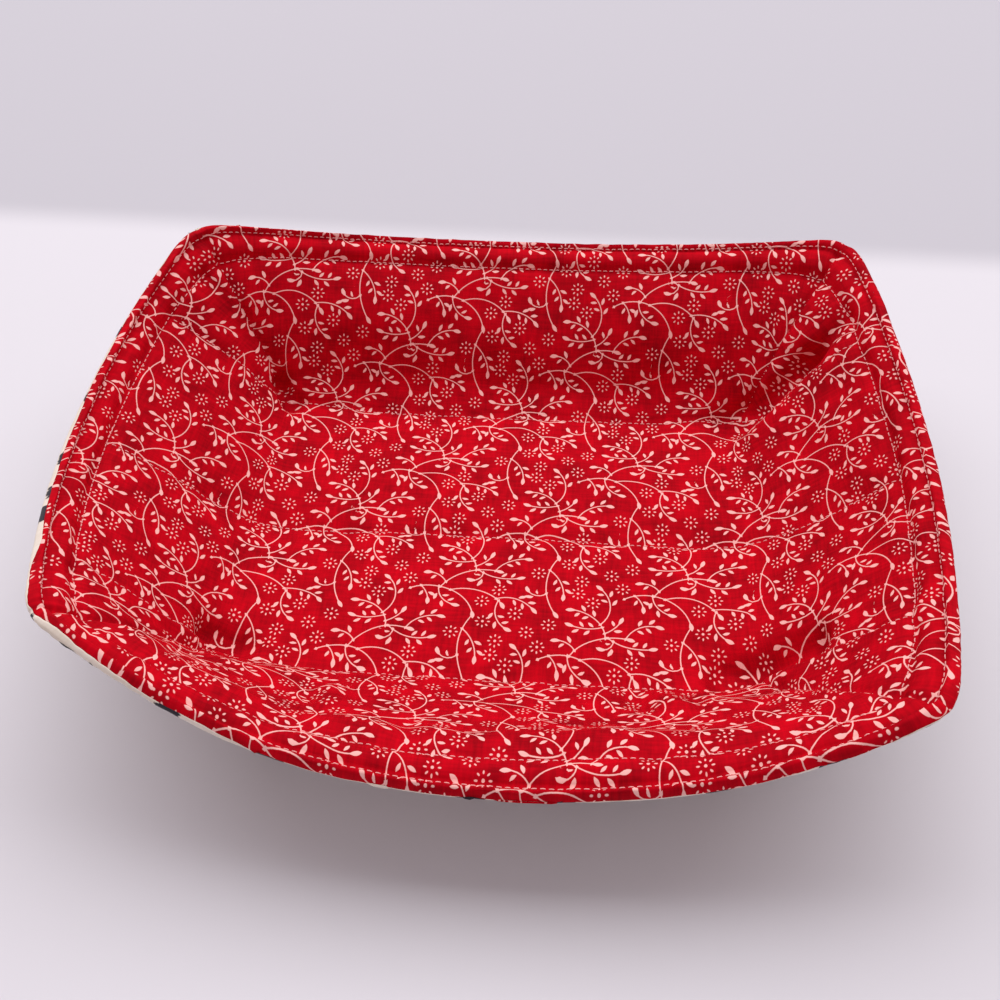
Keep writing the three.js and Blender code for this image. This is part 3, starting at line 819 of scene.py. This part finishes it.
def calico_material():
    finish = {"Roughness": 0.82, "Specular IOR Level": 0.06}
    material, tree, shader = new_material("printed_red_calico", finish)
    group = motif_group()
    distance = None
    for layer in range(MOTIF_LAYERS):
        place = add_node(tree, "ShaderNodeAttribute", {"attribute_name": f"motif_{layer}"})
        drawn = add_node(tree, "ShaderNodeGroup", {"node_tree": group})
        tree.links.new(place.outputs["Vector"], drawn.inputs[0])
        if distance is None:
            distance = drawn
        else:
            distance = add_node(tree, MATH, {"operation": "MINIMUM"}, distance, drawn)
    flat_mm = place_on_cloth(tree)
    ink_edge = add_node(tree, NOISE, {}, flat_mm, None, INK_GRAIN, 2.0)
    edge_shift = add_node(tree, MATH, MULTIPLY_ADD, ink_edge, INK_RAGGED, -INK_RAGGED / 2)
    ragged = add_node(tree, MATH, ADD, distance, edge_shift)
    printed = add_node(tree, MAP_RANGE, SMOOTH, ragged, INK_BLUR, -INK_BLUR)
    red = add_node(
        tree, MIX, OF_COLOURS, yarn_tone_and_painted_shade(tree, flat_mm), *TO_COLOURS,
        linear(CALICO_RED), linear(CALICO_SHADE),
    )
    ink = add_node(tree, MATH, MULTIPLY, printed, INK_COVER)
    colour = add_node(tree, MIX, OF_COLOURS, ink, *TO_COLOURS, red.outputs[2], linear(PRINT_PINK))
    tree.links.new(colour.outputs[2], shader.inputs["Base Color"])
    raise_threads(tree, flat_mm, shader)
    return material


def map_flat_cloth(piece, turn):
    """Maps a panel to its flat cloth, and gives the flat places of the corners of each face."""
    cloth_map = piece.data.uv_layers.new(name="flat_cloth")
    mapped = []
    for face in piece.data.polygons:
        grid_corners = [panel.grid[index] for index in face.vertices]
        middle = [sum(places) / len(places) for places in zip(*grid_corners)]
        wall = wall_at(*middle)[0]
        corners = [flat_place(u, v, wall, ROLL_LENGTH * turn(u, v, 1)) for u, v in grid_corners]
        for loop, (u, v) in zip(face.loop_indices, corners):
            cloth_map.uv[loop].vector = (u / CLOTH_MAP_SIZE + 0.5, v / CLOTH_MAP_SIZE + 0.5)
        mapped.append(corners)
    return mapped


lining = cloth_piece("lining_cloth", panel, lining_face, False, calico_material(), "lining_panel")
FACE_REACH = 1.7  # from the middle of a face to its corners, and a little more
MARK_HALF = 0.5  # half the distance between two marks of a stem
motif_data = [[] for _ in range(MOTIF_LAYERS)]
for corners in map_flat_cloth(lining, lining_turn):
    centre = Vector((*(sum(places) / len(places) for places in zip(*corners)), 0))
    found = {}
    for _, index, distance in mark_tree.find_range(centre, FACE_REACH + FLOWER_REACH + MARK_HALF):
        _, _, reach, motif = motif_marks[index]
        found[motif] = min(found.get(motif, math.inf), distance - reach - MARK_HALF)
    near = sorted((gap, motif) for motif, gap in found.items() if gap < FACE_REACH)[:MOTIF_LAYERS]
    for layer in range(MOTIF_LAYERS):
        for u, v in corners:
            place = motif_place(u, v, motifs[near[layer][1]]) if layer < len(near) else NO_MOTIF
            motif_data[layer].extend(place)
for layer, values in enumerate(motif_data):
    attribute = lining.data.attributes.new(f"motif_{layer}", "FLOAT_VECTOR", "CORNER")
    attribute.data.foreach_set("vector", values)

# Cotton batting
# Two soft white layers of needled cotton, one behind the lining and one behind the cover. The
# quilting and the topstitching hold them, and they end inside the rim.

BATTING_WHITE, BATTING_SHADE = "#F3EFE6", "#E2DCCF"
FIBRE_SIZE = 1.4  # mm, the clumps of a needled web
FIBRE_HEIGHT, FIBRE_BUMP = 0.3, 0.6


def batting_material():
    """Needled cotton: its fibres lie in small clumps, so that it looks soft and quite matt."""
    finish = {"Roughness": 0.95, "Sheen Weight": 0.2}
    material, tree, shader = new_material("needled_cotton_batting", finish)
    place = add_node(tree, "ShaderNodeTexCoord", {}).outputs["Object"]
    clumps = add_node(tree, NOISE, {}, place, None, 1 / (FIBRE_SIZE * MM), 5.0)
    colour = add_node(
        tree, MIX, OF_COLOURS, clumps, *TO_COLOURS, linear(BATTING_SHADE), linear(BATTING_WHITE)
    )
    tree.links.new(colour.outputs[2], shader.inputs["Base Color"])
    bump = add_node(tree, "ShaderNodeBump", {}, FIBRE_BUMP, FIBRE_HEIGHT * MM)
    tree.links.new(clumps.outputs[0], bump.inputs["Height"])
    tree.links.new(bump.outputs[0], shader.inputs["Normal"])
    return material


def batting_piece(name, top, bottom, lowest, material, node):
    """A closed pad between two faces of the sewn shape, each with its least height over the floor."""
    shaped = batting_panel.mesh.copy()
    for vertex, place in zip(shaped.verts, batting_panel.face(top, lowest[0])):
        vertex.co = place
    under = batting_panel.face(bottom, lowest[1])
    origin = shaped.verts.layers.int.new("origin")
    for vertex in shaped.verts:
        vertex[origin] = vertex.index
    lowered = bmesh.ops.extrude_face_region(shaped, geom=shaped.faces[:])["geom"]
    for item in lowered:
        if isinstance(item, bmesh.types.BMVert):
            item.co = under[item[origin]]
    bmesh.ops.recalc_face_normals(shaped, faces=shaped.faces)
    piece = finished_piece(name, shaped, material, node)


BATTING_EDGE = EDGE_SLANT - 1.5
BATTING_WALL_STEPS = 44
LAYER_GAP = 0.2
BEHIND_CLOTH = CLOTH_THICKNESS + LAYER_GAP  # from a cloth's face to the batting
LINING_PAD_LOWEST, COVER_PAD_LOWEST = (1.6, 1.3), (1.1, 0.8)  # top and bottom of each layer
batting_panel = SewnPanel(BASE_STEPS, BATTING_WALL_STEPS, BATTING_EDGE)
cotton = batting_material()


def inside(share, shift):
    """The height of a face inside the sandwich, at a share of the way from the lining to the cover."""
    def height(u, v):
        top = lining_height(u, v)
        return top + (cover_height(u, v) - top) * share + shift
    return height


batting_piece(
    "lining_batting_pad", inside(0, -BEHIND_CLOTH), inside(0.5, LAYER_GAP / 2), LINING_PAD_LOWEST,
    cotton, "lining_batting",
)
batting_piece(
    "cover_batting_pad", inside(0.5, -LAYER_GAP / 2), inside(1, BEHIND_CLOTH), COVER_PAD_LOWEST,
    cotton, "cover_batting",
)

# Outer cover
# Cream quilting cotton with scattered dark blots, darted like the lining. It is sewn to it round the
# rim and turned, so that only its edge shows from above.

COVER_CREAM, COVER_SHADE = "#EFE4DA", "#E0D3C4"
BLOT_DARK = "#2A2630"
BLOT_SPACING = 17.0  # mm
BLOT_EDGE = (0.27, 0.23)  # from cream to dark, as shares of the spacing
WAVER_SCALE, WAVER_REACH = 0.35, (5, 5, 0)  # per mm, and mm that it moves the edge of a blot


def cover_material():
    """Plain woven cotton: matt, with yarns of uneven tone and dark blots whose edges are ragged."""
    finish = {"Roughness": 0.84, "Specular IOR Level": 0.2, "Sheen Weight": 0.15}
    material, tree, shader = new_material("blotted_cream_cotton", finish)
    flat_mm = place_on_cloth(tree)
    waver = add_node(tree, NOISE, {}, flat_mm, None, WAVER_SCALE, 3.0)
    wavered = add_node(tree, VECTOR_MATH, MULTIPLY_ADD, waver.outputs["Color"], WAVER_REACH, flat_mm)
    cells = add_node(
        tree, "ShaderNodeTexVoronoi", {"voronoi_dimensions": "2D"}, wavered, None, 1 / BLOT_SPACING
    )
    blots = add_node(tree, MAP_RANGE, SMOOTH, cells.outputs["Distance"], *BLOT_EDGE)
    # The cream's slow darker marks are painted shade of puckers, as on the lining.
    cream = add_node(
        tree, MIX, OF_COLOURS, yarn_tone_and_painted_shade(tree, flat_mm), *TO_COLOURS,
        linear(COVER_CREAM), linear(COVER_SHADE),
    )
    colour = add_node(tree, MIX, OF_COLOURS, blots, *TO_COLOURS, cream.outputs[2], linear(BLOT_DARK))
    tree.links.new(colour.outputs[2], shader.inputs["Base Color"])
    raise_threads(tree, flat_mm, shader)
    return material


def cover_turn(u, v, share):
    return share * (2 - seam_turn(u, v))


cover_face = panel.rolled(cover_height, lining_height, cover_turn)
cover = cloth_piece("cover_cloth", panel, cover_face, True, cover_material(), "cover_panel")
map_flat_cloth(cover, cover_turn)

# Threads
# Pink polyester sewing thread: three rows of quilting on each side, two rows of topstitching, the
# seams of the darts and the seam inside the rim. A stitch is a short raised dash that dips into the
# cloth at both ends.

THREAD_PINK, THREAD_SHADE = "#FFC2C0", "#F09E9E"
TWIST_LENGTH = 0.5  # mm
STITCH_PITCH = 2.45  # mm
THREAD_HALF = 0.18  # half the thread's thickness
THREAD_SIDES = 6
STITCH_FORM = ((0, -0.9), (0.12, -0.45), (0.24, 0.06), (0.5, 0.16), (0.76, 0.06), (0.88, -0.45))
PATH_STEP = 0.7
ABOVE, BELOW = 1, -1  # the side of a face that a row of stitches lies on


def thread_material():
    """Twisted polyester: its tone changes a little along it, and it has a slight gloss."""
    finish = {"Roughness": 0.55, "Sheen Weight": 0.2}
    material, tree, shader = new_material("polyester_thread", finish)
    place = add_node(tree, "ShaderNodeTexCoord", {}).outputs["Object"]
    twist = add_node(tree, NOISE, {}, place, None, 1 / (TWIST_LENGTH * MM), 2.0)
    colour = add_node(
        tree, MIX, OF_COLOURS, twist, *TO_COLOURS, linear(THREAD_SHADE), linear(THREAD_PINK)
    )
    tree.links.new(colour.outputs[2], shader.inputs["Base Color"])
    return material


thread = thread_material()


def stitched_row(name, node, route, places, side, away=0):
    """A row of stitches along a route on the grid, on one side of a face and away from it."""
    path = []
    lengths = []
    for (start_u, start_v), (end_u, end_v) in zip(route, route[1:]):
        steps = max(1, round(math.hypot(end_u - start_u, end_v - start_v) / PATH_STEP))
        for step in range(steps + 1):
            u = start_u + (end_u - start_u) * step / steps
            v = start_v + (end_v - start_v) * step / steps
            point = panel.between(places, u, v)
            lengths.append(lengths[-1] + (point - path[-1][0]).length if path else 0)
            path.append((point, panel.between(panel.normals, u, v).normalized()))
    count = round(lengths[-1] / STITCH_PITCH)
    pitch = lengths[-1] / count
    spots = [((number + share) * pitch, dip) for number in range(count) for share, dip in STITCH_FORM]
    spots.append((count * pitch, STITCH_FORM[0][1]))
    laid = []
    for length, dip in spots:
        after = max(1, min(len(path) - 1, bisect.bisect_left(lengths, length)))
        (start, start_normal), (end, end_normal) = path[after - 1:after + 1]
        share = (length - lengths[after - 1]) / max(NEAR_ZERO, lengths[after] - lengths[after - 1])
        off = start_normal.lerp(end_normal, share).normalized()
        along = (end - start).normalized()
        laid.append((start.lerp(end, share) + off * side * (away + dip), along, off))
    tube = bmesh.new()
    bmesh.ops.create_grid(tube, x_segments=len(laid) - 1, y_segments=THREAD_SIDES, size=1)
    for vertex in tube.verts:
        point, along, off = laid[round((vertex.co.x + 1) / 2 * (len(laid) - 1))]
        angle = (vertex.co.y + 1) * math.pi
        across = along.cross(off).normalized()
        vertex.co = point + (off * math.cos(angle) + across * math.sin(angle)) * THREAD_HALF
        vertex.co.z = max(0, vertex.co.z)
    bmesh.ops.remove_doubles(tube, verts=tube.verts, dist=THREAD_HALF / 20)
    ends = [edge for edge in tube.edges if edge.is_boundary]
    bmesh.ops.holes_fill(tube, edges=ends, sides=THREAD_SIDES)
    bmesh.ops.recalc_face_normals(tube, faces=tube.faces)
    piece = finished_piece(name, tube, thread, node)


def ring_route(slant):
    """A route round the walls at one slant height."""
    u, v = (half + slant for half in HALF_BASE)
    return [(-u, -v), (u, -v), (u, v), (-u, v), (-u, -v)]


ROW_END = HALF_BASE[0] + BORDER_SLANT - 1.5
DART_START, DART_SEAM_IN = 6, 1.2  # from the dart's tip, and in from the face
RIM_SEAM_IN = 1.6  # from the rim
for name, v in QUILTING_ROWS.items():
    route = [(-ROW_END, v), (ROW_END, v)]
    stitched_row(f"lining_stitches_{name}", f"lining_quilting_{name}", route, lining_face, ABOVE)
    stitched_row(f"cover_stitches_{name}", f"cover_quilting_{name}", route, cover_face, BELOW)
for name, slant in (("edge", EDGE_SLANT), ("border", BORDER_SLANT)):
    route = ring_route(slant)
    stitched_row(f"{name}_needle_stitches", f"{name}_topstitch_needle_thread", route, lining_face, ABOVE)
    stitched_row(f"{name}_bobbin_stitches", f"{name}_topstitch_bobbin_thread", route, cover_face, BELOW)
for corner in CORNER_SLOPES:
    name = ("back" if corner[1] > 0 else "front") + ("_right" if corner[0] > 0 else "_left")
    route = [
        tuple(side * (half + slant) for side, half in zip(corner, HALF_BASE))
        for slant in (DART_START, EDGE_SLANT)
    ]
    for cloth, places, side in (("lining", lining_face, BELOW), ("cover", cover_face, ABOVE)):
        seam = f"{cloth}_dart_seam_{name}"
        stitched_row(f"{cloth}_dart_stitches_{name}", seam, route, places, side, DART_SEAM_IN)
seam_face = panel.face(lambda u, v: -HALF_SANDWICH)
stitched_row("rim_stitches", "rim_seam", ring_route(WALL_WIDTH - RIM_SEAM_IN), seam_face, ABOVE)

# Studio
# A plain pale board to stand on, which ends behind the cozy on a floor that is a little darker. The
# light is one broad softbox, high up and behind, and the pale air of the room.

FLOOR_REACH = 3.0
BOARD_PALE, FLOOR_PALE = "#DDDBE3", "#C2C0C9"
BOARD_END, BOARD_TURN, BOARD_BLUR = 0.2, math.radians(1.6), 0.012


def board_material():
    """Smooth painted board in two tones, which meet softly along a straight line."""
    finish = {"Roughness": 0.7, "Specular IOR Level": 0.2}
    material, tree, shader = new_material("painted_board", finish)
    place = add_node(tree, "ShaderNodeTexCoord", {}).outputs["Object"]
    turned = add_node(tree, "ShaderNodeMapping", {}, place, (0, 0, 0), (0, 0, BOARD_TURN))
    behind = add_node(tree, "ShaderNodeSeparateXYZ", {}, turned).outputs["Y"]
    past_end = add_node(
        tree, MAP_RANGE, SMOOTH, behind, BOARD_END - BOARD_BLUR, BOARD_END + BOARD_BLUR
    )
    colour = add_node(
        tree, MIX, OF_COLOURS, past_end, *TO_COLOURS, linear(BOARD_PALE), linear(FLOOR_PALE)
    )
    tree.links.new(colour.outputs[2], shader.inputs["Base Color"])
    return material


board = bmesh.new()
bmesh.ops.create_grid(board, x_segments=1, y_segments=1, size=FLOOR_REACH)
board_mesh = bpy.data.meshes.new("studio_board")
board.to_mesh(board_mesh)
board.free()
board_mesh.materials.append(board_material())
studio = add_object("studio_board", board_mesh)

AIR_COLOUR, AIR_LIGHT = "#FFF0F1", 0.46
world = bpy.data.worlds.new("studio_air")
bpy.context.scene.world = world
world.use_nodes = True
air = world.node_tree.nodes["Background"]
air.inputs["Color"].default_value = linear(AIR_COLOUR)
air.inputs["Strength"].default_value = AIR_LIGHT

SOFTBOX_TILT = math.radians(27)
SOFTBOX_DISTANCE = 2.4
SOFTBOX_SIZE = (5.4, 1.8)
SOFTBOX_POWER = 81
lamp_data = bpy.data.lights.new("softbox", "AREA")
lamp_data.shape = "RECTANGLE"
lamp_data.size, lamp_data.size_y = SOFTBOX_SIZE
lamp_data.energy = SOFTBOX_POWER
lamp = add_object("softbox", lamp_data)
lamp.location = Vector((0, math.sin(SOFTBOX_TILT), math.cos(SOFTBOX_TILT))) * SOFTBOX_DISTANCE
lamp.rotation_euler = (-SOFTBOX_TILT, 0, 0)

# Camera
# It looks down into the cozy from the front, a little from the right, as the photograph does. Its
# lens comes from a focal length in pixels of the picture.

PICTURE_WIDTH = 1000
FOCAL_PIXELS = 1200
SENSOR_WIDTH = 36
ELEVATION = math.radians(46.93)
YAW = math.radians(-5.52)
ROLL = math.radians(-1.32)
TARGET = Vector((-0.63, 17.76, 0)) + BASE_MIDDLE
DISTANCE = 457.84
forward = Vector((
    math.sin(YAW) * math.cos(ELEVATION),
    math.cos(YAW) * math.cos(ELEVATION),
    -math.sin(ELEVATION),
))
level = Vector((math.cos(YAW), -math.sin(YAW), 0))
upright = level.cross(forward)
right = level * math.cos(ROLL) + upright * math.sin(ROLL)
up = upright * math.cos(ROLL) - level * math.sin(ROLL)
camera_data = bpy.data.cameras.new("camera")
camera_data.sensor_width = SENSOR_WIDTH
camera_data.lens = SENSOR_WIDTH * FOCAL_PIXELS / PICTURE_WIDTH
camera = add_object("camera", camera_data)
turned_camera = Matrix((right, up, -forward)).transposed().to_4x4()
camera.matrix_world = Matrix.Translation((TARGET - forward * DISTANCE) * MM) @ turned_camera
bpy.context.scene.camera = camera
bpy.context.scene.view_settings.view_transform = "Standard"
